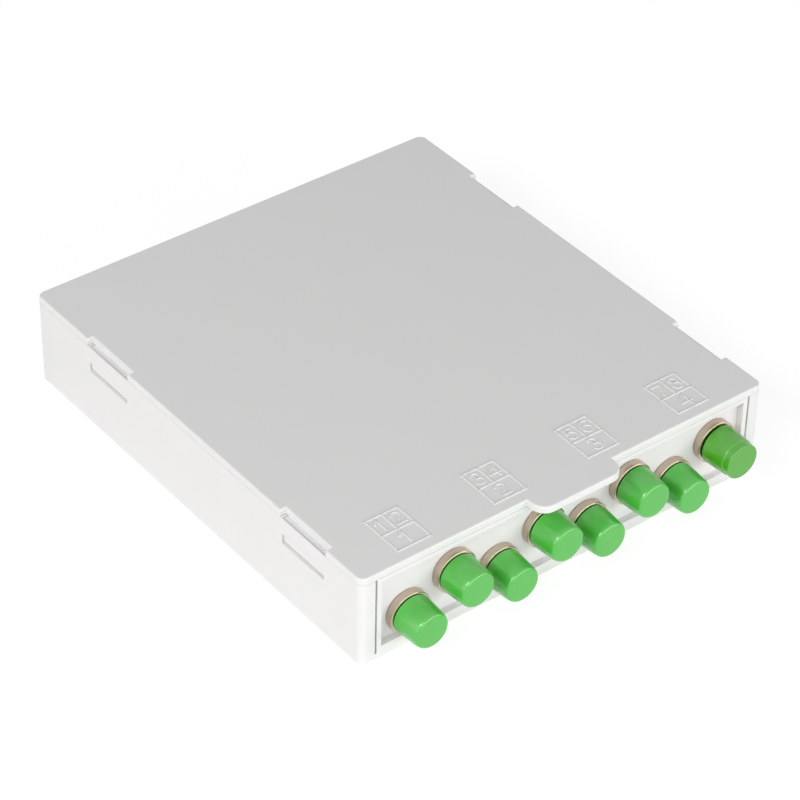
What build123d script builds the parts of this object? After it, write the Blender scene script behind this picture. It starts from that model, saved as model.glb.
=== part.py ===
from build123d import *
import math
import os

# Wall-mount fibre distribution box, eight round threaded ports in a zigzag row.
# Back (wall) face on z = 0, cover towards +Z, ports towards -Y, millimetres.

# Box
box_width = 150.0
box_depth = 166.0
box_height = 32.0
corner_radius = 2.6
side_wall = 2.2
floor_thickness = 2.2
bottom_edge = 0.4

# Cover
cover_thickness = 2.3
cover_edge_radius = 0.6
seam = 0.1
tab_width = 31.6
tab_reach = 6.4
tab_corner = 4.8
lip_depth = 2.0
lip_thickness = 1.2
lip_clearance = 0.3

# Snap arms of the cover and their windows in the side walls
snap_width = 20.0
snap_side_clearance = 0.3
snap_back_y = 43.5
snap_front_y = -55.7
window_bottom = 20.3
window_height = 3.5
window_skin = 0.45
hook_clearance = 0.1
hook_step = 0.1
hook_lead_height = 0.6
hook_lead_depth = 0.4
arm_reach_in = 1.4
notch_depth = 2.1
notch_width = 21.6

# Adaptor panel, slid down between the front posts
post_width = 5.1
post_rib = 2.0
panel_front = 2.3
panel_web = 2.0
panel_play = 0.1
panel_slot = 0.7
panel_top_gap = 0.1
panel_groove_play = 0.5
rim_side = 1.6
rim_bottom = 2.0
rim_top = 1.5
foot_rib_height = 2.5
foot_rib_thickness = 1.5

# Ports
port_count = 8
port_margin = 12.5
port_low = 11.4
port_high = 18.1

# Threaded adaptor
flange_diameter = 14.0
flange_thickness = 2.7
flange_chamfer = 0.35
barrel_diameter = 8.0
barrel_front = 7.2
barrel_beyond_nut = 7.2
barrel_bore = 6.2
barrel_chamfer = 0.3
flat_offset = 3.5
flat_clearance = 0.1
hole_clearance = 0.1
holder_diameter = 4.8
holder_recess = 1.0
socket_floor = 1.6
key_width = 2.1
key_length = 3.5
sleeve_diameter = 3.2
sleeve_bore = 2.5
sleeve_length = 11.4
sleeve_play = 0.1
sleeve_slit = 0.4
ferrule_entry = 2.8

# Nut and washer behind the panel
nut_across_flats = 11.0
nut_thickness = 2.0
washer_diameter = 12.0
washer_thickness = 0.6
thread_play = 0.05
face_play = 0.05

# Dust caps
cap_base_diameter = 13.1
cap_step_diameter = 12.2
cap_tip_diameter = 11.6
cap_step_depth = 0.1
cap_length = 9.4
cap_tip_length = 2.4
cap_end_chamfer = 1.1
cap_end_bulge = 0.32
cap_gap = 0.5
cap_bore_play = 0.06
cap_end_gap = 0.4

# The last cap is longer and sharper, and sits further out
last_cap_step_depth = 0.25
last_cap_length = 10.1
last_cap_tip_length = 2.5
last_cap_end_chamfer = 0.3
last_cap_end_bulge = 0.09
last_cap_gap = 1.3

# Fibre spool, splice holder
spool_radius = 30.0
spool_wall = 1.8
spool_height = 12.0
spool_arc = 54.0
spool_y = 6.0
spool_count = 4
spool_tab_reach = 6.0
spool_tab_width = 7.0
spool_tab_thickness = 1.2
splice_slots = 8
splice_pitch = 4.4
splice_rib = 1.2
splice_rib_height = 5.5
splice_length = 20.0
splice_plate = 1.5
peg_diameter = 3.0
peg_height = 2.4
peg_play = 0.1
peg_inset = 3.0

# Cable entries and clamps
entry_diameter = 8.2
entry_height = 12.0
entry_x = 36.0
clamp_inset = 14.3
clamp_boss_diameter = 7.0
clamp_boss_spacing = 17.0
clamp_boss_height = 9.0
clamp_width = 7.0
clamp_thickness = 3.0
clamp_arch = 7.0
saddle_rib = 1.6
saddle_arch = 7.0
screw_diameter = 2.9
screw_head_diameter = 5.4
screw_head_height = 2.0
screw_length = 9.0
screw_hole_play = 0.1
pilot_diameter = 2.9
screw_slot = 0.8
screw_slot_depth = 0.9

# Wall screws
wall_screw_diameter = 4.5
wall_screw_x = 110.0
wall_screw_y = 100.0
wall_screw_centre_y = 8.0
wall_boss_diameter = 10.0
wall_boss_height = 1.4

# Places worked out from the sizes above
front_y = -box_depth / 2
back_y = box_depth / 2
wall_top = box_height - cover_thickness - seam
cover_under = box_height - cover_thickness
inner_x = box_width / 2 - side_wall
post_x = box_width / 2 - post_width
inner_back_y = back_y - side_wall
window_top = window_bottom + window_height
snap_rows = [snap_back_y, snap_front_y]
web_front_y = front_y + panel_front
web_back_y = web_front_y + panel_web
flange_front_y = web_front_y - flange_thickness
nut_back_y = web_back_y + washer_thickness + nut_thickness + 3 * face_play
barrel_front_y = flange_front_y - barrel_front
barrel_back_y = nut_back_y + barrel_beyond_nut
barrel_radius = barrel_diameter / 2
first_port_x = port_margin - post_x
port_pitch = -2 * first_port_x / (port_count - 1)
ports = [
    (first_port_x + port_pitch * i, port_low if i % 2 == 0 else port_high)
    for i in range(port_count)
]
clamp_y = inner_back_y - clamp_inset
clamp_seat = floor_thickness + clamp_boss_height


def along_y(x, y, z, forward):
    """Plane through a point whose local y axis runs along +Y, or -Y when forward is true."""
    return Plane(origin=(x, y, z), x_dir=(1, 0, 0), z_dir=(0, 0, -1 if forward else 1))


# Base: tray with an open front between two posts
with BuildPart() as base:
    with BuildSketch():
        RectangleRounded(box_width, box_depth, corner_radius)
    extrude(amount=wall_top)
    chamfer(base.faces().sort_by(Axis.Z)[0].outer_wire().edges(), bottom_edge)
    with BuildSketch(Plane.XY.offset(floor_thickness)):
        with Locations((0, (web_front_y - panel_play + inner_back_y) / 2)):
            Rectangle(2 * inner_x, inner_back_y - web_front_y + panel_play)
    extrude(amount=wall_top, mode=Mode.SUBTRACT)
    with BuildSketch(Plane.XY.offset(floor_thickness)):
        with Locations((0, front_y)):
            Rectangle(2 * post_x, 2 * panel_front)
    extrude(amount=wall_top, mode=Mode.SUBTRACT)
    # Ribs behind the posts make the vertical grooves of the panel
    rib_x = (post_x + inner_x) / 2
    rib_y = web_back_y + panel_play + post_rib / 2
    with BuildSketch(Plane.XY.offset(floor_thickness)):
        with Locations((-rib_x, rib_y), (rib_x, rib_y)):
            Rectangle(inner_x - post_x, post_rib)
    extrude(amount=wall_top - floor_thickness)
    foot_y = web_back_y + panel_play + foot_rib_thickness / 2
    with BuildSketch(Plane.XY.offset(floor_thickness)):
        with Locations((0, foot_y)):
            Rectangle(2 * post_x - 2 * post_width, foot_rib_thickness)
    extrude(amount=foot_rib_height)
    # Snap windows, with the wall above them thinned from the inside
    for side in (-1, 1):
        for row in snap_rows:
            with BuildSketch(Plane.XY.offset(window_bottom)):
                with Locations((side * (inner_x + (side_wall - window_skin) / 2), row)):
                    Rectangle(side_wall - window_skin, snap_width)
            extrude(amount=wall_top, mode=Mode.SUBTRACT)
            with BuildSketch(Plane.XY.offset(window_bottom)):
                with Locations((side * (inner_x + side_wall / 2), row)):
                    Rectangle(2 * side_wall, snap_width)
            extrude(amount=window_height, mode=Mode.SUBTRACT)
    # Spool of arc walls, each with a tab that keeps the fibres down
    for i in range(spool_count):
        middle = 360 / spool_count * (i + 0.5)
        with BuildSketch(Plane.XY.offset(floor_thickness)):
            with BuildLine():
                outer = CenterArc((0, spool_y), spool_radius, middle - spool_arc / 2, spool_arc)
                inner = CenterArc((0, spool_y), spool_radius - spool_wall, middle - spool_arc / 2, spool_arc)
                Line(outer @ 0, inner @ 0)
                Line(outer @ 1, inner @ 1)
            make_face()
        extrude(amount=spool_height)
        tab_plane = Plane(
            origin=(0, spool_y, floor_thickness + spool_height),
            x_dir=(math.cos(math.radians(middle)), math.sin(math.radians(middle)), 0),
            z_dir=(0, 0, 1),
        )
        with BuildSketch(tab_plane):
            with Locations((spool_radius - spool_wall / 2 + spool_tab_reach / 2, 0)):
                Rectangle(spool_wall + spool_tab_reach, spool_tab_width)
        extrude(amount=-spool_tab_thickness)
    # Pegs of the splice holder
    holder_width = splice_slots * splice_pitch + splice_rib
    peg_x = holder_width / 2 + peg_inset
    with BuildSketch(Plane.XY.offset(floor_thickness)):
        with Locations((-peg_x, spool_y), (peg_x, spool_y)):
            Circle(peg_diameter / 2)
    extrude(amount=peg_height)
    # Cable entries, their clamp bosses and saddles
    with BuildSketch(Plane.XZ.offset(-back_y)):
        with Locations((-entry_x, entry_height), (entry_x, entry_height)):
            Circle(entry_diameter / 2)
    extrude(amount=side_wall, mode=Mode.SUBTRACT)
    for side in (-1, 1):
        with BuildSketch(Plane.XY.offset(floor_thickness)):
            with Locations((side * entry_x, clamp_y)):
                with Locations((-clamp_boss_spacing / 2, 0), (clamp_boss_spacing / 2, 0)):
                    Circle(clamp_boss_diameter / 2)
        extrude(amount=clamp_boss_height)
        with BuildSketch(Plane.XY.offset(floor_thickness)):
            with Locations((side * entry_x, clamp_y)):
                Rectangle(clamp_boss_spacing, saddle_rib)
        extrude(amount=clamp_boss_height)
        with BuildSketch(Plane.XZ.offset(-clamp_y - clamp_boss_diameter)):
            with Locations((side * entry_x, entry_height)):
                Circle(saddle_arch / 2)
        extrude(amount=2 * clamp_boss_diameter, mode=Mode.SUBTRACT)
        with BuildSketch(Plane.XY.offset(clamp_seat)):
            with Locations((side * entry_x, clamp_y)):
                with Locations((-clamp_boss_spacing / 2, 0), (clamp_boss_spacing / 2, 0)):
                    Circle(pilot_diameter / 2 + screw_hole_play)
        extrude(amount=-clamp_boss_height, mode=Mode.SUBTRACT)
    # Wall screw bosses
    with BuildSketch(Plane.XY.offset(floor_thickness)):
        with Locations((0, wall_screw_centre_y)):
            with GridLocations(wall_screw_x, wall_screw_y, 2, 2):
                Circle(wall_boss_diameter / 2)
    extrude(amount=wall_boss_height)
    with BuildSketch():
        with Locations((0, wall_screw_centre_y)):
            with GridLocations(wall_screw_x, wall_screw_y, 2, 2):
                Circle(wall_screw_diameter / 2)
    extrude(amount=floor_thickness + wall_boss_height, mode=Mode.SUBTRACT)


# Cover: flat plate with a finger tab, edge notches, four snap arms and a locating lip
channel_x = box_width / 2 - window_skin
arm_outer_x = channel_x - hook_clearance - hook_step
arm_inner_x = box_width / 2 - notch_depth - arm_reach_in
hook_x = channel_x - hook_clearance
arm_bottom = window_bottom + snap_side_clearance
hook_top = window_top - snap_side_clearance
arm_width = snap_width - 2 * snap_side_clearance
with BuildPart() as cover:
    with BuildSketch(Plane.XY.offset(cover_under)) as cover_outline:
        RectangleRounded(box_width, box_depth, corner_radius)
        with Locations((0, front_y - tab_reach / 2 + tab_corner / 2)):
            Rectangle(tab_width, tab_reach + tab_corner)
        tab_corners = cover_outline.vertices().group_by(Axis.Y)[0]
        fillet(tab_corners, tab_corner)
    extrude(amount=cover_thickness)
    for side in (-1, 1):
        for row in snap_rows:
            with BuildSketch(Plane.XY.offset(cover_under)):
                with Locations((side * box_width / 2, row)):
                    Rectangle(2 * notch_depth, notch_width)
            extrude(amount=cover_thickness, mode=Mode.SUBTRACT)
    fillet(cover.faces().sort_by(Axis.Z)[-1].outer_wire().edges(), cover_edge_radius)
    # Locating lip inside the back and side walls
    lip_x = inner_x - lip_clearance
    lip_back_y = inner_back_y - lip_clearance
    lip_front_y = rib_y + post_rib / 2 + lip_clearance
    with BuildSketch(Plane.XY.offset(cover_under)):
        with Locations((0, (lip_back_y + lip_front_y) / 2)):
            Rectangle(2 * lip_x, lip_back_y - lip_front_y)
        with Locations((0, (lip_back_y + lip_front_y) / 2 - lip_thickness)):
            Rectangle(2 * (lip_x - lip_thickness), lip_back_y - lip_front_y, mode=Mode.SUBTRACT)
        for row in snap_rows:
            with Locations((0, row)):
                Rectangle(box_width, notch_width, mode=Mode.SUBTRACT)
    extrude(amount=-lip_depth)
    for side in (-1, 1):
        for row in snap_rows:
            arm_plane = Plane(origin=(0, row, 0), x_dir=(side, 0, 0), z_dir=(0, -side, 0))
            with BuildSketch(arm_plane):
                with BuildLine():
                    Polyline(
                        (arm_inner_x, cover_under + cover_thickness / 2),
                        (arm_inner_x, arm_bottom),
                        (hook_x - hook_lead_depth, arm_bottom),
                        (hook_x, arm_bottom + hook_lead_height),
                        (hook_x, hook_top),
                        (arm_outer_x, hook_top),
                        (arm_outer_x, wall_top),
                        (box_width / 2 - notch_depth, wall_top),
                        (box_width / 2 - notch_depth, cover_under + cover_thickness / 2),
                        close=True,
                    )
                make_face()
            extrude(amount=arm_width / 2, both=True)


# Adaptor panel: flat web in the post grooves, with a raised rim flush with the posts
panel_top = cover_under - panel_top_gap
panel_bottom = floor_thickness
panel_height = panel_top - panel_bottom
rim_x = post_x - panel_slot
with BuildPart() as adaptor_panel:
    web_plane = Plane(origin=(0, web_back_y, 0), x_dir=(1, 0, 0), z_dir=(0, -1, 0))
    with BuildSketch(web_plane):
        with Locations((0, panel_bottom + panel_height / 2)):
            Rectangle(2 * (inner_x - panel_groove_play), panel_height)
    extrude(amount=panel_web)
    rim_plane = Plane(origin=(0, web_front_y, 0), x_dir=(1, 0, 0), z_dir=(0, -1, 0))
    field_bottom = panel_bottom + rim_bottom
    field_top = panel_top - rim_top
    with BuildSketch(rim_plane):
        with Locations((0, panel_bottom + panel_height / 2)):
            Rectangle(2 * rim_x, panel_height)
        with Locations((0, (field_bottom + field_top) / 2)):
            Rectangle(2 * (rim_x - rim_side), field_top - field_bottom, mode=Mode.SUBTRACT)
    extrude(amount=panel_front)
    # Each round hole has one flat that keeps its adaptor from turning
    with BuildSketch(web_plane):
        for x, z in ports:
            with Locations((x, z)):
                Circle(barrel_radius + hole_clearance)
        for x, z in ports:
            with Locations((x, z - flat_offset - flat_clearance - barrel_radius)):
                Rectangle(2 * barrel_diameter, barrel_diameter, mode=Mode.SUBTRACT)
    extrude(amount=panel_web, mode=Mode.SUBTRACT)


def make_adaptor(x, z):
    """Threaded barrel at both ends of a round flange, with the sleeve holder inside."""
    plane = along_y(x, web_front_y, z, False)
    axis = Axis(plane.origin, plane.y_dir)
    front_end = barrel_front_y - web_front_y
    back_end = barrel_back_y - web_front_y
    middle = (front_end + back_end) / 2
    flange_radius = flange_diameter / 2
    with BuildPart() as adaptor:
        with BuildSketch(plane):
            with BuildLine():
                Polyline(
                    (0, front_end),
                    (barrel_radius - barrel_chamfer, front_end),
                    (barrel_radius, front_end + barrel_chamfer),
                    (barrel_radius, -flange_thickness),
                    (flange_radius - flange_chamfer, -flange_thickness),
                    (flange_radius, flange_chamfer - flange_thickness),
                    (flange_radius, 0),
                    (barrel_radius, 0),
                    (barrel_radius, back_end - barrel_chamfer),
                    (barrel_radius - barrel_chamfer, back_end),
                    (0, back_end),
                    close=True,
                )
            make_face()
            # Round sockets, each with the holder of the sleeve standing in it
            socket_length = (back_end - front_end) / 2 - socket_floor
            ring = (barrel_bore - holder_diameter) / 2
            for end, inward in ((front_end, 1), (back_end, -1)):
                with Locations((holder_diameter / 2 + ring / 2, end + inward * socket_length / 2)):
                    Rectangle(ring, socket_length, mode=Mode.SUBTRACT)
                with Locations((barrel_bore / 4, end + inward * holder_recess / 2)):
                    Rectangle(barrel_bore / 2, holder_recess, mode=Mode.SUBTRACT)
            with Locations((ferrule_entry / 4, middle)):
                Rectangle(ferrule_entry / 2, back_end - front_end, mode=Mode.SUBTRACT)
            with Locations((sleeve_diameter / 4 + sleeve_play / 2, middle)):
                Rectangle(
                    sleeve_diameter / 2 + sleeve_play, sleeve_length + 2 * sleeve_play, mode=Mode.SUBTRACT
                )
        revolve(axis=axis)
        # Key slots at the top of both barrels
        with BuildSketch(Plane.XY.offset(z + barrel_radius)):
            with Locations((x, barrel_front_y + key_length / 2), (x, barrel_back_y - key_length / 2)):
                Rectangle(key_width, key_length)
        extrude(amount=-(barrel_radius - holder_diameter / 2 - face_play), mode=Mode.SUBTRACT)
        # Flat under the barrel behind the flange
        with BuildSketch(Plane.XY.offset(z - flat_offset)):
            with Locations((x, (web_front_y + barrel_back_y) / 2)):
                Rectangle(barrel_diameter, barrel_back_y - web_front_y)
        extrude(amount=-barrel_radius, mode=Mode.SUBTRACT)
    return adaptor


def make_sleeve(x, z):
    """Slit tube that lines up two ferrules."""
    middle_y = (barrel_front_y + barrel_back_y) / 2
    plane = Plane(origin=(x, middle_y, z), x_dir=(1, 0, 0), z_dir=(0, -1, 0))
    with BuildPart() as sleeve:
        with BuildSketch(plane):
            Circle(sleeve_diameter / 2)
            Circle(sleeve_bore / 2, mode=Mode.SUBTRACT)
            with Locations((0, sleeve_diameter / 2)):
                Rectangle(sleeve_slit, sleeve_diameter, mode=Mode.SUBTRACT)
        extrude(amount=sleeve_length / 2, both=True)
    return sleeve


def make_cap(x, base_y, z, forward, gap, length, tip_length, step_depth, end_chamfer, end_bulge):
    """Tapered push-on cap, open at its base and closed at its stepped tip."""
    plane = along_y(x, base_y, z, forward)
    base_radius = cap_base_diameter / 2
    step_radius = cap_step_diameter / 2
    tip_radius = cap_tip_diameter / 2
    bore_radius = barrel_radius + cap_bore_play
    step_at = length - tip_length
    bore_depth = (barrel_front if forward else barrel_beyond_nut) - gap + cap_end_gap
    with BuildPart() as cap:
        with BuildSketch(plane):
            with BuildLine():
                Polyline(
                    (0, bore_depth),
                    (bore_radius, bore_depth),
                    (bore_radius, 0),
                    (base_radius, 0),
                    (step_radius, step_at),
                    (step_radius - step_depth, step_at + step_depth),
                    (tip_radius, length - end_chamfer),
                    (tip_radius - end_bulge, length - end_bulge),
                    (tip_radius - end_chamfer, length),
                    (0, length),
                    close=True,
                )
            make_face()
        revolve(axis=Axis(plane.origin, plane.y_dir))
    return cap


usual_cap = (cap_gap, cap_length, cap_tip_length, cap_step_depth, cap_end_chamfer, cap_end_bulge)
last_cap = (
    last_cap_gap,
    last_cap_length,
    last_cap_tip_length,
    last_cap_step_depth,
    last_cap_end_chamfer,
    last_cap_end_bulge,
)
adaptors = []
sleeves = []
front_caps = []
inner_caps = []
for i, (port_x, port_z) in enumerate(ports):
    adaptors.append(make_adaptor(port_x, port_z))
    sleeves.append(make_sleeve(port_x, port_z))
    front_cap = usual_cap if i < port_count - 1 else last_cap
    front_caps.append(make_cap(port_x, flange_front_y - front_cap[0], port_z, True, *front_cap))
    inner_caps.append(make_cap(port_x, nut_back_y + cap_gap, port_z, False, *usual_cap))


# Lock washers and hexagon nuts behind the panel
with BuildPart() as lock_washers:
    washer_plane = Plane(origin=(0, web_back_y + face_play, 0), x_dir=(-1, 0, 0), z_dir=(0, 1, 0))
    with BuildSketch(washer_plane):
        with Locations(*[(-x, z) for x, z in ports]):
            Circle(washer_diameter / 2)
        with Locations(*[(-x, z) for x, z in ports]):
            Circle(barrel_radius + hole_clearance, mode=Mode.SUBTRACT)
    extrude(amount=washer_thickness)

with BuildPart() as adaptor_nuts:
    nut_plane = Plane(origin=(0, nut_back_y, 0), x_dir=(1, 0, 0), z_dir=(0, -1, 0))
    with BuildSketch(nut_plane):
        with Locations(*ports):
            RegularPolygon(nut_across_flats / 2, 6, major_radius=False)
        with Locations(*ports):
            Circle(barrel_radius + thread_play, mode=Mode.SUBTRACT)
    extrude(amount=nut_thickness)


# Splice holder: plate with ribs that hold eight splice sleeves side by side
with BuildPart() as splice_holder:
    with BuildSketch(Plane.XY.offset(floor_thickness)):
        with Locations((0, spool_y)):
            Rectangle(holder_width, splice_length)
            SlotCenterToCenter(2 * peg_x, 2 * peg_inset)
        with Locations((-peg_x, spool_y), (peg_x, spool_y)):
            Circle(peg_diameter / 2 + peg_play, mode=Mode.SUBTRACT)
    extrude(amount=splice_plate)
    with BuildSketch(Plane.XY.offset(floor_thickness + splice_plate)):
        with Locations((0, spool_y)):
            with GridLocations(splice_pitch, 0, splice_slots + 1, 1):
                Rectangle(splice_rib, splice_length)
    extrude(amount=splice_rib_height)


def make_clamp(side):
    """Bar over the cable, arched in the middle and screwed to two bosses."""
    x = side * entry_x
    with BuildPart() as clamp:
        with BuildSketch(Plane.XY.offset(clamp_seat)):
            with Locations((x, clamp_y)):
                SlotCenterToCenter(clamp_boss_spacing, clamp_width)
                with Locations((-clamp_boss_spacing / 2, 0), (clamp_boss_spacing / 2, 0)):
                    Circle(screw_diameter / 2 + screw_hole_play, mode=Mode.SUBTRACT)
        extrude(amount=clamp_thickness)
        with BuildSketch(Plane.XZ.offset(-clamp_y - clamp_width / 2)):
            with Locations((x, entry_height)):
                Circle(clamp_arch / 2 + clamp_thickness / 2)
                with Locations((0, -clamp_arch)):
                    Rectangle(
                        2 * clamp_boss_spacing,
                        2 * (clamp_seat - entry_height + clamp_arch),
                        mode=Mode.SUBTRACT,
                    )
        extrude(amount=clamp_width)
        with BuildSketch(Plane.XZ.offset(-clamp_y - clamp_width)):
            with Locations((x, entry_height)):
                Circle(clamp_arch / 2)
        extrude(amount=2 * clamp_width, mode=Mode.SUBTRACT)
    return clamp


clamp_left = make_clamp(-1)
clamp_right = make_clamp(1)

# Pan-head screws of the clamps
screw_seat = clamp_seat + clamp_thickness
with BuildPart() as clamp_screws:
    for side in (-1, 1):
        with BuildSketch(Plane.XY.offset(screw_seat)):
            with Locations((side * entry_x, clamp_y)):
                with Locations((-clamp_boss_spacing / 2, 0), (clamp_boss_spacing / 2, 0)):
                    Circle(screw_head_diameter / 2)
        extrude(amount=screw_head_height)
        with BuildSketch(Plane.XY.offset(screw_seat)):
            with Locations((side * entry_x, clamp_y)):
                with Locations((-clamp_boss_spacing / 2, 0), (clamp_boss_spacing / 2, 0)):
                    Circle(screw_diameter / 2)
        extrude(amount=-screw_length)
        with BuildSketch(Plane.XY.offset(screw_seat + screw_head_height)):
            with Locations((side * entry_x, clamp_y)):
                with Locations((-clamp_boss_spacing / 2, 0), (clamp_boss_spacing / 2, 0)):
                    Rectangle(screw_head_diameter, screw_slot)
        extrude(amount=-screw_slot_depth, mode=Mode.SUBTRACT)


pieces = {
    "base": base,
    "cover": cover,
    "adaptor_panel": adaptor_panel,
    "lock_washers": lock_washers,
    "adaptor_nuts": adaptor_nuts,
    "splice_holder": splice_holder,
    "cable_clamp_left": clamp_left,
    "cable_clamp_right": clamp_right,
    "clamp_screws": clamp_screws,
}
for i in range(port_count):
    pieces[f"adaptor_{i + 1}"] = adaptors[i]
    pieces[f"alignment_sleeve_{i + 1}"] = sleeves[i]
    pieces[f"front_cap_{i + 1}"] = front_caps[i]
    pieces[f"inner_cap_{i + 1}"] = inner_caps[i]

os.makedirs("parts", exist_ok=True)
for node, piece in pieces.items():
    piece.part.label = node
    export_step(piece.part, f"parts/{node}.step")
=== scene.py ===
import math

import bpy
import numpy as np
from mathutils import Matrix, Vector


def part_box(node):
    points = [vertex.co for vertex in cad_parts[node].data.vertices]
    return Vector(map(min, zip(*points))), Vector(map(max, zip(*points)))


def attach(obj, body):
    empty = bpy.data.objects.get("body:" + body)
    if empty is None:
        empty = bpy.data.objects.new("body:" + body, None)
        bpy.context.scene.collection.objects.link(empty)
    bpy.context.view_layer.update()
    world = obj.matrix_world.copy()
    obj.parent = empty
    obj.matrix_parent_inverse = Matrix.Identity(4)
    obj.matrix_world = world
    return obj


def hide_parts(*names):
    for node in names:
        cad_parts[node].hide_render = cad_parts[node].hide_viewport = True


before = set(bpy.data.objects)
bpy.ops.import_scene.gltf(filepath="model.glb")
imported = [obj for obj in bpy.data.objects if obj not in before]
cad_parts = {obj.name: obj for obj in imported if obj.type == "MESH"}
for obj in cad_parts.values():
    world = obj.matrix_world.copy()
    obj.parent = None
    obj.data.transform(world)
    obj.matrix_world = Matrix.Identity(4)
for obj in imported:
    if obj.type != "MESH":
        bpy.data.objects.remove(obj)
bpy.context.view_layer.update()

mm = 0.001
portCount = 8
sharpAngle = math.radians(32)
verySmall = 1e-6


# Meshes

def makePiece(name, points, faces, body, material):
    # points in metres, so the piece sits at the origin with its place in its mesh
    mesh = bpy.data.meshes.new(name)
    mesh.from_pydata(np.asarray(points, dtype=float).tolist(), [], [tuple(f) for f in faces])
    mesh.validate()
    mesh.update()
    mesh.shade_smooth()
    mesh.set_sharp_from_angle(angle=sharpAngle)
    mesh.materials.append(material)
    piece = bpy.data.objects.new(name, mesh)
    bpy.context.scene.collection.objects.link(piece)
    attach(piece, body)
    return piece


def gridQuads(rows, columns, closeRows, closeColumns, start=0):
    # quads between neighbouring rows and columns of a grid of points, wrapped round where a side
    # is closed; the grid's first point has the number start
    r = np.arange(rows if closeRows else rows - 1)
    c = np.arange(columns if closeColumns else columns - 1)
    r0, c0 = np.meshgrid(r, c, indexing="ij")
    r1, c1 = (r0 + 1) % rows, (c0 + 1) % columns
    quads = np.stack([
        r0 * columns + c0, r1 * columns + c0, r1 * columns + c1, r0 * columns + c1,
    ], -1)
    return (quads.reshape(-1, 4) + start).tolist()


def roundedPath(corners, steps):
    # profile through (radius, height, rounding) corners: each corner becomes the curve
    # (1 - t) squared of its start, 2 t (1 - t) of the corner and t squared of its end,
    # where start and end lie one rounding away from the corner along its two sides
    corners = np.array(corners, dtype=float)
    path = [corners[0, :2]]
    for before, here, after in zip(corners[:-2], corners[1:-1], corners[2:]):
        if here[2] <= 0:
            path.append(here[:2])
            continue
        back = before[:2] - here[:2]
        on = after[:2] - here[:2]
        start = here[:2] + back / np.linalg.norm(back) * here[2]
        end = here[:2] + on / np.linalg.norm(on) * here[2]
        t = np.linspace(0, 1, steps + 1)[:, None]
        path.extend((1 - t) ** 2 * start + 2 * t * (1 - t) * here[:2] + t ** 2 * end)
    path.append(corners[-1, :2])
    return np.array(path)


def ringPoints(radius, height, angle, centre, outward):
    # a profile turned about the port's axis: x is the radius times the cosine of the angle,
    # z the radius times its sine, and y the height along the axis, outward or inward
    x = centre[0] + radius * np.cos(angle)
    z = centre[2] + radius * np.sin(angle)
    y = centre[1] + outward * height
    return np.stack([x, y, z], -1).reshape(-1, 3)


# Materials

patterns = {
    "mottleDetail": 3.0, "grainDetail": 4.0, "grainRoughness": 0.6, "edgeSamples": 6,
    "turningWobble": 1.5, "turningDetail": 2.0,
}
mixDark, mixBright, mixColour = 6, 7, 2  # the colour sockets of a Mix node: two in, one out


def startMaterial(name, colour, metallic=0.0):
    material = bpy.data.materials.new(name)
    material.use_nodes = True
    shader = material.node_tree.nodes["Principled BSDF"]
    shader.inputs["Base Color"].default_value = (*colour, 1)
    shader.inputs["Metallic"].default_value = metallic
    return material, shader


def addNode(material, kind, **values):
    # each value goes to the input of its name, or to the node itself where there is no such input
    node = material.node_tree.nodes.new(kind)
    for key, value in values.items():
        if key in node.inputs:
            node.inputs[key].default_value = value
        else:
            setattr(node, key, value)
    return node


def joinSockets(material, output, target):
    material.node_tree.links.new(output, target)


def addMottle(material, shader, colour, spread, scale):
    # slow change of colour over the surface, in the piece's own coordinates
    place = addNode(material, "ShaderNodeTexCoord")
    noise = addNode(material, "ShaderNodeTexNoise", Scale=scale, Detail=patterns["mottleDetail"])
    blend = addNode(material, "ShaderNodeMix", data_type="RGBA")
    blend.inputs[mixDark].default_value = (*[c * (1 - spread) for c in colour], 1)
    blend.inputs[mixBright].default_value = (*[min(1, c * (1 + spread)) for c in colour], 1)
    joinSockets(material, place.outputs["Object"], noise.inputs["Vector"])
    joinSockets(material, noise.outputs["Fac"], blend.inputs["Factor"])
    joinSockets(material, blend.outputs[mixColour], shader.inputs["Base Color"])


def addGrain(material, shader, look):
    # fine spark-eroded grain as bump, the same grain in the roughness, and where the look has
    # an edge, edges that catch a little light
    place = addNode(material, "ShaderNodeTexCoord")
    noise = addNode(
        material, "ShaderNodeTexNoise",
        Scale=look["grain"], Detail=patterns["grainDetail"], Roughness=patterns["grainRoughness"],
    )
    bump = addNode(
        material, "ShaderNodeBump", Strength=look["grainStrength"], Distance=look["grainDepth"],
    )
    joinSockets(material, place.outputs["Object"], noise.inputs["Vector"])
    joinSockets(material, noise.outputs["Fac"], bump.inputs["Height"])
    joinSockets(material, bump.outputs["Normal"], shader.inputs["Normal"])
    if "edge" in look:
        soft = addNode(
            material, "ShaderNodeBevel", samples=patterns["edgeSamples"], Radius=look["edge"],
        )
        joinSockets(material, soft.outputs["Normal"], bump.inputs["Normal"])
    spread = addNode(material, "ShaderNodeMapRange")
    spread.inputs["To Min"].default_value, spread.inputs["To Max"].default_value = look["roughness"]
    joinSockets(material, noise.outputs["Fac"], spread.inputs["Value"])
    joinSockets(material, spread.outputs["Result"], shader.inputs["Roughness"])


def addTurning(material, shader, look):
    # lathe marks: rings across the port axis, which runs along Y
    place = addNode(material, "ShaderNodeTexCoord")
    wave = addNode(
        material, "ShaderNodeTexWave", bands_direction="Y", Scale=look["turning"],
        Distortion=patterns["turningWobble"], Detail=patterns["turningDetail"],
    )
    bump = addNode(
        material, "ShaderNodeBump", Strength=look["turningStrength"], Distance=look["turningDepth"],
    )
    joinSockets(material, place.outputs["Object"], wave.inputs["Vector"])
    joinSockets(material, wave.outputs["Fac"], bump.inputs["Height"])
    joinSockets(material, bump.outputs["Normal"], shader.inputs["Normal"])


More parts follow.
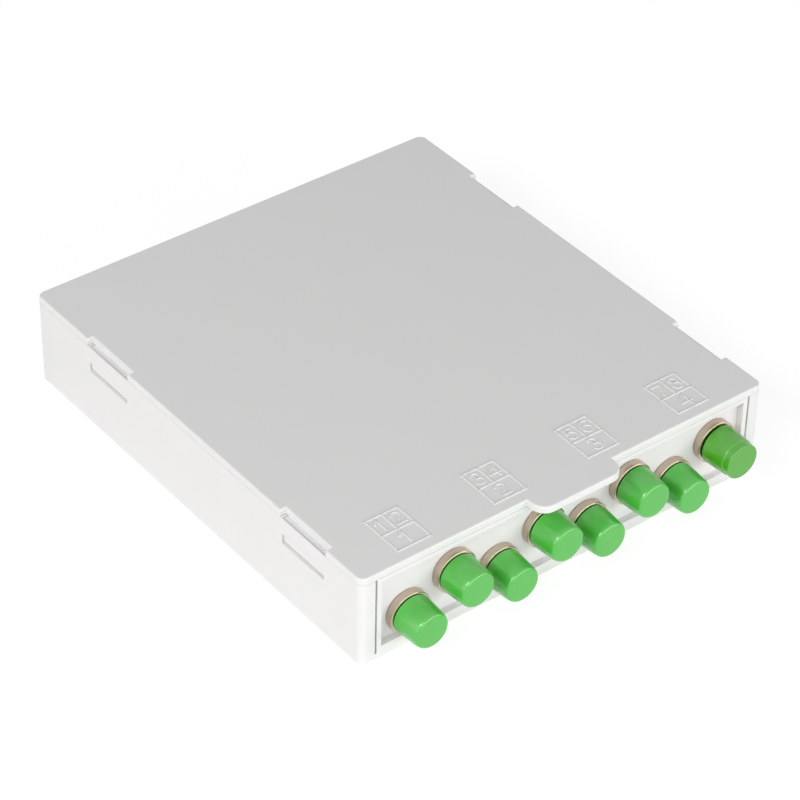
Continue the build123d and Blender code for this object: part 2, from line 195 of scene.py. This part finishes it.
housingLook = {
    # panel: the housing plastic lifted and tinted towards magenta, painted light that cancels the
    # shade and green bounce the caps cast on the panel
    "housing": (0.83, 0.83, 0.828), "panel": (0.872, 0.846, 0.876), "specular": 0.4,
    "roughness": (0.42, 0.56), "mottle": 0.012, "mottleScale": 45,
    "grain": 2600, "grainStrength": 0.25, "grainDepth": 0.00002, "edge": 0.00015,
}


def makeHousingPlastic(name, colour):
    look = housingLook
    material, shader = startMaterial(name, colour)
    shader.inputs["Specular IOR Level"].default_value = look["specular"]
    addMottle(material, shader, colour, look["mottle"], look["mottleScale"])
    addGrain(material, shader, look)
    return material


capLook = {
    "usual": (0.072, 0.486, 0.052), "last": (0.070, 0.392, 0.010), "specular": 1.0,
    "roughness": (0.20, 0.28), "mottle": 0.05, "mottleScale": 160,
    "glow": 0.3, "glowReach": 0.0012, "glowColour": (0.4, 1.0, 0.35),
    "grain": 1800, "grainStrength": 0.2, "grainDepth": 0.000015,
}


def makeCapPlastic(name, colour):
    look = capLook
    material, shader = startMaterial(name, colour)
    shader.inputs["Specular IOR Level"].default_value = look["specular"]
    shader.inputs["Subsurface Weight"].default_value = look["glow"]
    shader.inputs["Subsurface Scale"].default_value = look["glowReach"]
    shader.inputs["Subsurface Radius"].default_value = look["glowColour"]
    addMottle(material, shader, colour, look["mottle"], look["mottleScale"])
    addGrain(material, shader, look)
    return material


nickelLook = {
    "colour": (0.56, 0.465, 0.365), "roughness": 0.24, "mottle": 0.04, "mottleScale": 220,
    "turning": 1400, "turningStrength": 0.12, "turningDepth": 0.00001,
}


def makeNickel():
    look = nickelLook
    material, shader = startMaterial("turnedNickel", look["colour"], metallic=1.0)
    shader.inputs["Roughness"].default_value = look["roughness"]
    addMottle(material, shader, look["colour"], look["mottle"], look["mottleScale"])
    addTurning(material, shader, look)
    return material


zincLook = {
    "colour": (0.55, 0.56, 0.58), "roughness": (0.28, 0.42), "mottle": 0.08, "mottleScale": 500,
    "grain": 3000, "grainStrength": 0.2, "grainDepth": 0.00001,
}


def makeZinc():
    look = zincLook
    material, shader = startMaterial("zincPlate", look["colour"], metallic=1.0)
    addMottle(material, shader, look["colour"], look["mottle"], look["mottleScale"])
    addGrain(material, shader, look)
    return material


ceramicLook = {
    "colour": (0.88, 0.86, 0.80), "roughness": 0.12, "mottle": 0.01, "mottleScale": 300,
}


def makeCeramic():
    look = ceramicLook
    material, shader = startMaterial("whiteCeramic", look["colour"])
    shader.inputs["Roughness"].default_value = look["roughness"]
    addMottle(material, shader, look["colour"], look["mottle"], look["mottleScale"])
    return material


holderLook = {
    "colour": (0.60, 0.62, 0.64), "roughness": (0.42, 0.58), "mottle": 0.02, "mottleScale": 80,
    "grain": 2200, "grainStrength": 0.2, "grainDepth": 0.00002,
}


def makeHolderPlastic():
    look = holderLook
    material, shader = startMaterial("holderPlastic", look["colour"])
    addMottle(material, shader, look["colour"], look["mottle"], look["mottleScale"])
    addGrain(material, shader, look)
    return material


print("materials")
housing = makeHousingPlastic("housingPlastic", housingLook["housing"])
# the panel's material is the housing plastic with painted light: brighter and tinted against the
# caps' shade and green bounce
panelPlasticPaintedBright = makeHousingPlastic("panelPlasticPaintedBright", housingLook["panel"])
capPlastic = makeCapPlastic("capPlastic", capLook["usual"])
lastCapPlastic = makeCapPlastic("lastCapPlastic", capLook["last"])
nickel = makeNickel()
zinc = makeZinc()
nodeLooks = {
    "base": housing, "cover": housing, "adaptor_panel": panelPlasticPaintedBright,
    "lock_washers": zinc, "adaptor_nuts": nickel, "splice_holder": makeHolderPlastic(),
    "cable_clamp_left": housing, "cable_clamp_right": housing, "clamp_screws": zinc,
}
ceramic = makeCeramic()
for number in range(1, portCount + 1):
    nodeLooks[f"alignment_sleeve_{number}"] = ceramic
for nodeName, look in nodeLooks.items():
    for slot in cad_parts[nodeName].material_slots:
        slot.material = look


# Dust caps: the tapered outside, the last one's step near the tip, the rounded end and the bore

capShape = {
    "usual": {
        "length": 9.4, "baseRadius": 6.55, "stepRadius": 6.06, "tipRadius": 5.72,
        "stepDepth": 0, "tipLength": 2.1, "stepSoft": 0.5, "endRounding": 1.0,
        "boreDepth": 7.1, "boreRadius": 4.06, "boreRounding": 0.3,
        "mouthChamfer": 0.35, "mouthRounding": 0.1, "baseRounding": 0.2, "reach": 0.12,
    },
    "last": {
        "length": 10.1, "baseRadius": 6.55, "stepRadius": 6.1, "tipRadius": 5.8,
        "stepDepth": 0.25, "tipLength": 2.5, "stepSoft": 0.15, "endRounding": 0.28,
        "boreDepth": 6.3, "boreRadius": 4.06, "boreRounding": 0.3,
        "mouthChamfer": 0.35, "mouthRounding": 0.1, "baseRounding": 0.2, "reach": 0.5,
    },
    "columns": 96, "roundingSteps": 8,
}


def makeCap(node, outward, kind):
    # the rounded profile from the tip's middle over the outside and the mouth to the bore's
    # middle, turned about the port's axis; both middles are closed with a fan of triangles
    low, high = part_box(node)
    mouth = high[1] if outward < 0 else low[1]
    centre = ((low[0] + high[0]) / 2, mouth, (low[2] + high[2]) / 2)
    s = capShape[kind]
    stepAt = s["length"] - s["tipLength"]
    step = []
    if s["stepDepth"]:
        step = [(s["stepRadius"] - s["stepDepth"], stepAt + s["stepDepth"], s["stepSoft"] / 2)]
    path = roundedPath([
        (0, s["length"], 0),
        (s["tipRadius"], s["length"], s["endRounding"]),
        *step,
        (s["stepRadius"], stepAt, s["stepSoft"]),
        (s["baseRadius"], -s["reach"], s["baseRounding"]),
        (s["boreRadius"] + s["mouthChamfer"], -s["reach"], s["mouthRounding"]),
        (s["boreRadius"], s["mouthChamfer"], s["mouthRounding"]),
        (s["boreRadius"], s["boreDepth"], s["boreRounding"]),
        (0, s["boreDepth"], 0),
    ], capShape["roundingSteps"])
    angle = np.linspace(0, 2 * np.pi, capShape["columns"], endpoint=False)
    radius, turn = np.meshgrid(path[1:-1, 0] * mm, angle)
    height = np.broadcast_to(path[1:-1, 1] * mm, radius.shape)
    points = ringPoints(radius, height, turn, centre, outward)
    rows, columns = radius.shape
    tip, floor = len(points), len(points) + 1
    poles = [(centre[0], centre[1] + outward * path[k, 1] * mm, centre[2]) for k in (0, -1)]
    here = np.arange(rows)
    following = (here + 1) % rows
    last = columns - 1
    tipFan = [np.full(rows, tip), following * columns, here * columns]
    floorFan = [np.full(rows, floor), here * columns + last, following * columns + last]
    fans = np.stack([np.stack(tipFan, -1), np.stack(floorFan, -1)], 1).reshape(-1, 3)
    faces = gridQuads(rows, columns, True, False) + fans.tolist()
    if outward > 0:
        faces = [face[::-1] for face in faces]
    look = lastCapPlastic if kind == "last" else capPlastic
    name = node.replace("_cap_", "DustCap")
    piece = makePiece(name, np.vstack([points, poles]), faces, node, look)
    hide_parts(node)


print("dust caps")
for number in range(1, portCount + 1):
    makeCap(f"front_cap_{number}", -1, "last" if number == portCount else "usual")
    makeCap(f"inner_cap_{number}", 1, "usual")


# Adaptors: flange, threaded barrels with key slots, sockets and the sleeve holder

adaptorShape = {
    "flangeThickness": 2.7, "flangeRadius": 7.0, "flangeChamfer": 0.2, "chamferBulge": (0.55, 0.25),
    "grooveWidth": 0.28, "grooveDepth": 0.5,
    "barrelRadius": 4.0, "crestPlay": 0.02, "threadPitch": 0.75, "threadDepth": 0.36,
    "threadStart": 0.5, "threadEnd": 0.35, "tipChamfer": 0.28, "tipLength": 0.3,
    "slotWidth": 2.1, "slotLength": 3.5, "slotEdge": 0.004, "flatOffset": 3.5,
    "socketRadius": 3.1, "socketFloor": 1.6, "socketFlare": 0.15, "socketLead": 0.2,
    "holderRadius": 2.4, "holderRecess": 1.0, "holderChamfer": 0.2,
    "entryRadius": 1.4, "entryChamfer": 0.3, "sleeveRadius": 1.7, "sleeveLength": 11.6,
    "panelWebFront": 2.3, "columns": 96, "columnShift": 0.0137, "rowsPerTurn": 8,
}


def slotHalfAngle(s):
    return math.asin(s["slotWidth"] / 2 / s["barrelRadius"])


def barrelAngles(s):
    # even columns, with four more at the edges of the key slot so that its sides stay straight
    half, edge = slotHalfAngle(s), s["slotEdge"]
    extra = [math.pi / 2 + k for k in (-half - edge, -half + edge, half - edge, half + edge)]
    even = np.linspace(0, 2 * np.pi, s["columns"], endpoint=False) + s["columnShift"]
    return np.sort(np.concatenate([even, extra]))


def threadRadius(s, along, angle, start, end):
    # crest radius less a cosine wave of the height in pitches minus the turn, faded out at both
    # ends of the barrel, and less a chamfer at the tip
    phase = along / s["threadPitch"] - angle / (2 * np.pi)
    wave = 0.5 + 0.5 * np.cos(2 * np.pi * phase)
    fade = np.clip((along - start) / s["threadStart"], 0, 1)
    fade = fade * np.clip((end - along) / s["threadEnd"], 0, 1)
    chamfer = s["tipChamfer"] * (1 - np.clip((end - along) / s["tipLength"], 0, 1))
    return s["barrelRadius"] - s["crestPlay"] - s["threadDepth"] * wave * fade - chamfer


def barrelRows(s, angle, root, tip, flat):
    # outside of one barrel: each column runs in even steps from the root to the tip, which draws
    # back inside the key slot; a flat cuts the radius to its offset over the sine of the angle
    cut = np.where(np.abs(angle - math.pi / 2) < slotHalfAngle(s), s["slotLength"], 0.0)
    count = int((tip - root) / s["threadPitch"] * s["rowsPerTurn"])
    share = np.linspace(0, 1, count)
    along = root + (tip - cut)[:, None] * share - root * share
    radius = threadRadius(s, along, angle[:, None], root, tip)
    if flat:
        down = np.minimum(np.sin(angle), -verySmall)[:, None]
        radius = np.minimum(radius, s["flatOffset"] / -down)
    return radius, along, cut


def makeAdaptor(number):
    # one closed profile, turned about the port's axis, from the groove behind the flange over the
    # front barrel, through the inside and back over the rear barrel; heights run along +Y from
    # the panel's front face, so the front barrel's are negative
    s = adaptorShape
    node = f"adaptor_{number}"
    low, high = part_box(node)
    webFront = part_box("adaptor_panel")[0][1] / mm + s["panelWebFront"]
    centre = ((low[0] + high[0]) / 2, webFront * mm, (low[2] + high[2]) / 2)
    frontTip = webFront - low[1] / mm
    backTip = high[1] / mm - webFront
    middle = (backTip - frontTip) / 2
    angle = barrelAngles(s)
    frontRadius, frontAlong, cut = barrelRows(s, angle, s["flangeThickness"], frontTip, False)
    backRadius, backAlong, _ = barrelRows(s, angle, 0.0, backTip, True)
    n = len(angle)

    def ring(radius, along):
        heights = np.broadcast_to(np.asarray(along, float).reshape(-1, 1), (n, 1))
        return np.full((n, 1), radius), heights

    rim, front, chamfer = s["flangeRadius"], -s["flangeThickness"], s["flangeChamfer"]
    groove = rim - s["grooveDepth"]
    bulgeIn, bulgeBack = s["chamferBulge"]
    frontLine, backLine = -(frontTip - cut), backTip - cut
    socket, flared = s["socketRadius"], s["socketRadius"] + s["socketFlare"]
    holder, holderTip = s["holderRadius"], s["holderRadius"] - s["holderChamfer"]
    holderFront = -frontTip + s["holderRecess"]
    holderBack = backTip - s["holderRecess"]
    entry, entryWide = s["entryRadius"], s["entryRadius"] + s["entryChamfer"]
    sleeve, half = s["sleeveRadius"], s["sleeveLength"] / 2
    parts = [
        ring(groove, -s["grooveWidth"]),
        ring(rim, -s["grooveWidth"]),
        ring(rim, front + chamfer),
        ring(rim - chamfer * bulgeIn, front + chamfer * bulgeBack),
        ring(rim - chamfer, front),
        (frontRadius, -frontAlong),
        ring(flared, frontLine),
        ring(socket, frontLine + s["socketLead"]),
        ring(socket, middle - s["socketFloor"]),
        ring(holder, middle - s["socketFloor"]),
        ring(holder, holderFront + s["holderChamfer"]),
        ring(holderTip, holderFront),
        ring(entryWide, holderFront),
        ring(entry, holderFront + s["entryChamfer"]),
        ring(entry, middle - half),
        ring(sleeve, middle - half),
        ring(sleeve, middle + half),
        ring(entry, middle + half),
        ring(entry, holderBack - s["entryChamfer"]),
        ring(entryWide, holderBack),
        ring(holderTip, holderBack),
        ring(holder, holderBack - s["holderChamfer"]),
        ring(holder, middle + s["socketFloor"]),
        ring(socket, middle + s["socketFloor"]),
        ring(socket, backLine - s["socketLead"]),
        ring(flared, backLine),
        (backRadius[:, ::-1], backAlong[:, ::-1]),
        ring(groove, 0.0),
    ]
    radius = np.hstack([part[0] for part in parts]) * mm
    along = np.hstack([part[1] for part in parts]) * mm
    points = ringPoints(radius, along, angle[:, None], centre, 1)
    faces = gridQuads(n, radius.shape[1], True, True)
    piece = makePiece(f"threadedAdaptor{number}", points, faces, "housing", nickel)
    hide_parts(node)


print("adaptors")
for number in range(1, portCount + 1):
    makeAdaptor(number)


# Port numbers: thin raised lines and digits on the cover

tableShape = {
    "centres": (-53.13, -18.5, 16.2, 50.95), "width": 11.5,
    "far": -63.36, "middle": -71.1, "near": -78.77,
    "line": 0.72, "digit": 0.66, "height": 0.2, "sink": 0.06,
    "shoulders": ((0.92, 0.45), (0.62, 0.92), (0.3, 1.0)),  # shares of the half width and height
    "endSteps": 6, "endAngle": 0.12, "endWidth": 0.04,
}


def arcPath(x, y, rx, ry, start, end, steps=22):
    # an arc of an ellipse: its middle plus the radii times the cosine and sine of even angles
    a = np.radians(np.linspace(start, end, steps))
    return np.stack([x + rx * np.cos(a), y + ry * np.sin(a)], -1)


def digitStrokes(digit):
    # each digit is about 3.2 wide and 5 high about its middle, drawn as round-ended strokes
    twoHead = arcPath(0.05, 1.15, 1.4, 1.35, 165, -30)
    lines = {
        1: [[(-1.4, 1.1), (0.1, 2.5)], [(0.1, 2.5), (0.1, -2.35)]],
        2: [np.vstack([twoHead, [(-1.45, -2.35)]]), [(-1.45, -2.35), (1.65, -2.35)]],
        3: [arcPath(-0.1, 1.35, 1.3, 1.15, 155, -90), arcPath(0.0, -1.15, 1.45, 1.35, 90, -155)],
        4: [
            [(0.95, 2.5), (0.95, -2.4)], [(0.95, 2.5), (-1.75, -1.0)],
            [(-1.75, -1.0), (1.75, -1.0)],
        ],
        5: [
            [(1.3, 2.2), (-0.6, 2.2)], [(-0.6, 2.2), (-1.35, 0.25)],
            arcPath(0.05, -0.9, 1.5, 1.55, 145, -150),
        ],
        6: [arcPath(0.0, -0.95, 1.5, 1.55, 0, 360, 40), arcPath(0.6, -0.35, 2.1, 2.85, 180, 62)],
        7: [[(-1.55, 2.15), (1.4, 2.15)], [(1.4, 2.15), (-0.6, -2.5)]],
        8: [arcPath(0.1, 1.4, 1.2, 1.1, 0, 360, 36), arcPath(0.05, -1.1, 1.45, 1.4, 0, 360, 40)],
    }
    return [np.array(line, dtype=float) for line in lines[digit]]


def unit(vector):
    return vector / np.linalg.norm(vector)


def ridge(path, width, top, start):
    # a low ridge along a path: each point of a soft trapezoid section lies its share of the half
    # width to the side of the path, and at an open end the half width shrinks as a circle
    s = tableShape
    path = np.asarray(path, dtype=float)
    closed = len(path) > 3 and np.linalg.norm(path[0] - path[-1]) < verySmall
    half = width / 2
    if closed:
        path = path[:-1]
        along = np.roll(path, -1, 0) - np.roll(path, 1, 0)
        scale = np.ones(len(path))
    else:
        first, last = unit(path[1] - path[0]), unit(path[-1] - path[-2])
        out = np.sin(np.linspace(np.pi / 2, s["endAngle"], s["endSteps"])) * half
        head = path[0] - out[:, None] * first
        tail = path[-1] + out[::-1, None] * last
        ends = np.maximum(np.sqrt(1 - (out / half) ** 2), s["endWidth"])
        scale = np.concatenate([ends, np.ones(len(path)), ends[::-1]])
        path = np.vstack([head, path, tail])
        along = np.gradient(path, axis=0)
    along /= np.linalg.norm(along, axis=1)[:, None]
    side = np.stack([-along[:, 1], along[:, 0]], -1)
    risingSide = [(-1, -s["sink"])] + [(-w, s["height"] * h) for w, h in s["shoulders"]]
    section = np.array(risingSide + [(-w, h) for w, h in risingSide[::-1]])
    across = section[:, 0] * (scale * half)[:, None]
    x = path[:, :1] + side[:, :1] * across
    y = path[:, 1:] + side[:, 1:] * across
    z = top + np.broadcast_to(section[:, 1], x.shape)
    points = np.stack([x, y, z], -1).reshape(-1, 3)
    rows, columns = x.shape
    faces = gridQuads(rows, columns, closed, True, start)
    if not closed:
        end = start + len(points)
        faces.append(list(range(start, start + columns)))
        faces.append(list(range(end - 1, end - 1 - columns, -1)))
    return points, faces


def makeTables():
    # four tables, each with two port numbers above and the number of their pair below
    s = tableShape
    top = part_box("cover")[1][2] / mm
    points, faces = [], []

    def addRidge(path, width):
        ridgePoints, ridgeFaces = ridge(path, width, top, sum(map(len, points)))
        points.append(ridgePoints)
        faces.extend(ridgeFaces)

    farY = (s["far"] + s["middle"]) / 2
    nearY = (s["near"] + s["middle"]) / 2
    quarter = s["width"] / 4
    for table, x in enumerate(s["centres"]):
        left, right = x - s["width"] / 2, x + s["width"] / 2
        corners = [(left, s["far"]), (right, s["far"]), (right, s["near"]), (left, s["near"])]
        for line in zip(corners, corners[1:] + corners[:1]):
            addRidge(line, s["line"])
        addRidge([(left, s["middle"]), (right, s["middle"])], s["line"])
        addRidge([(x, s["middle"]), (x, s["far"])], s["line"])
        places = [(2 * table + 1, x - quarter, farY), (2 * table + 2, x + quarter, farY)]
        places += [(table + 1, x, nearY)]
        for digit, digitX, digitY in places:
            for stroke in digitStrokes(digit):
                addRidge(stroke + np.array([digitX, digitY]), s["digit"])
    piece = makePiece("portNumbers", np.vstack(points) * mm, faces, "cover", housing)


print("port numbers")
makeTables()


# Studio: white floor and surroundings, soft lamps, camera

studio = {
    "skyLight": 0.29, "skyWhite": 1.0, "floorSize": 3.0, "floorDrop": 0.0002,
    "floorGlow": 0.82, "floorColour": 0.30, "floorBounce": 0.92,
}


def whenSeen(tree):
    # 1 for rays from the camera, a mirror or glass, 0 for the light that falls on things
    path = tree.nodes.new("ShaderNodeLightPath")
    seen = path.outputs["Is Camera Ray"]
    for kind in ("Is Glossy Ray", "Is Transmission Ray"):
        larger = tree.nodes.new("ShaderNodeMath")
        larger.operation = "MAXIMUM"
        tree.links.new(seen, larger.inputs[0])
        tree.links.new(path.outputs[kind], larger.inputs[1])
        seen = larger.outputs[0]
    return seen


def makeFloor():
    # lights the box as a plain white floor, and is seen as white with the box's shadow
    half, z = studio["floorSize"] / 2, -studio["floorDrop"]
    mesh = bpy.data.meshes.new("studioFloor")
    corners = [(-half, -half, z), (half, -half, z), (half, half, z), (-half, half, z)]
    mesh.from_pydata(corners, [], [(0, 1, 2, 3)])
    material = bpy.data.materials.new("studioFloor")
    material.use_nodes = True
    tree = material.node_tree
    tree.nodes.clear()
    out = tree.nodes.new("ShaderNodeOutputMaterial")
    choose = tree.nodes.new("ShaderNodeMixShader")
    plain = tree.nodes.new("ShaderNodeBsdfDiffuse")
    plain.inputs["Color"].default_value = (*[studio["floorBounce"]] * 3, 1)
    seen = tree.nodes.new("ShaderNodeBsdfDiffuse")
    seen.inputs["Color"].default_value = (*[studio["floorColour"]] * 3, 1)
    glow = tree.nodes.new("ShaderNodeEmission")
    glow.inputs["Strength"].default_value = studio["floorGlow"]
    both = tree.nodes.new("ShaderNodeAddShader")
    tree.links.new(seen.outputs[0], both.inputs[0])
    tree.links.new(glow.outputs[0], both.inputs[1])
    tree.links.new(whenSeen(tree), choose.inputs[0])
    tree.links.new(plain.outputs[0], choose.inputs[1])
    tree.links.new(both.outputs[0], choose.inputs[2])
    tree.links.new(choose.outputs[0], out.inputs["Surface"])
    mesh.materials.append(material)
    floor = bpy.data.objects.new("studioFloor", mesh)
    bpy.context.scene.collection.objects.link(floor)


def makeSky():
    # a dim white sky lights the box, and a full white one is seen
    world = bpy.data.worlds.new("studioSky")
    bpy.context.scene.world = world
    world.use_nodes = True
    tree = world.node_tree
    tree.nodes.clear()
    out = tree.nodes.new("ShaderNodeOutputWorld")
    choose = tree.nodes.new("ShaderNodeMixShader")
    tree.links.new(whenSeen(tree), choose.inputs[0])
    for place, strength in ((1, studio["skyLight"]), (2, studio["skyWhite"])):
        sky = tree.nodes.new("ShaderNodeBackground")
        sky.inputs["Color"].default_value = (1, 1, 1, 1)
        sky.inputs["Strength"].default_value = strength
        tree.links.new(sky.outputs[0], choose.inputs[place])
    tree.links.new(choose.outputs[0], out.inputs["Surface"])


lampAim = (0, 0, 0.02)
lampTint = (1.0, 0.99, 0.982)
lampPlaces = {
    # name: place, width, height, power
    "leftLamp": ((-1.1, -0.35, 0.95), 0.8, 0.4, 9.4),
    "lowLamp": ((-1.4, -0.2, 0.30), 1.2, 0.5, 2.4),
    "backLamp": ((-1.2, 0.8, 0.45), 1.0, 0.6, 1.6),
    "frontLamp": ((0.1, -1.4, 0.30), 1.2, 0.5, 7.9),
    "rightLamp": ((1.0, -1.1, 0.45), 1.0, 0.6, 4.6),
}


def makeLamps():
    for name, (place, width, height, power) in lampPlaces.items():
        data = bpy.data.lights.new(name, "AREA")
        data.shape = "RECTANGLE"
        data.size = width
        data.size_y = height
        data.energy = power
        data.color = lampTint
        lamp = bpy.data.objects.new(name, data)
        lamp.location = place
        lamp.rotation_euler = (Vector(lampAim) - Vector(place)).to_track_quat("-Z", "Y").to_euler()
        lamp.visible_camera = False
        bpy.context.scene.collection.objects.link(lamp)


cameraView = {
    "azimuth": -38.257, "elevation": 38.22, "roll": 1.177, "distance": 0.98778,
    "right": 0.0023, "up": 0.00637, "lens": 143.97, "sensor": 36.0, "farthest": 20,
}


def makeCamera():
    # looks at the box from the front left and above, with the fitted roll and offsets
    v = cameraView
    a, e, r = (math.radians(v[k]) for k in ("azimuth", "elevation", "roll"))
    back = Vector((math.sin(a) * math.cos(e), -math.cos(a) * math.cos(e), math.sin(e)))
    right = Vector((0, 0, 1)).cross(back).normalized()
    up = back.cross(right)
    rolledRight = right * math.cos(r) + up * math.sin(r)
    rolledUp = up * math.cos(r) - right * math.sin(r)
    data = bpy.data.cameras.new("camera")
    data.sensor_width = v["sensor"]
    data.lens = v["lens"]
    data.clip_end = v["farthest"]
    camera = bpy.data.objects.new("camera", data)
    turn = Matrix((rolledRight, rolledUp, back)).transposed().to_4x4()
    place = back * v["distance"] + rolledRight * v["right"] + rolledUp * v["up"]
    camera.matrix_world = Matrix.Translation(place) @ turn
    bpy.context.scene.collection.objects.link(camera)
    bpy.context.scene.camera = camera


print("studio")
makeFloor()
makeSky()
makeLamps()
makeCamera()
bpy.context.scene.view_settings.view_transform = "Standard"
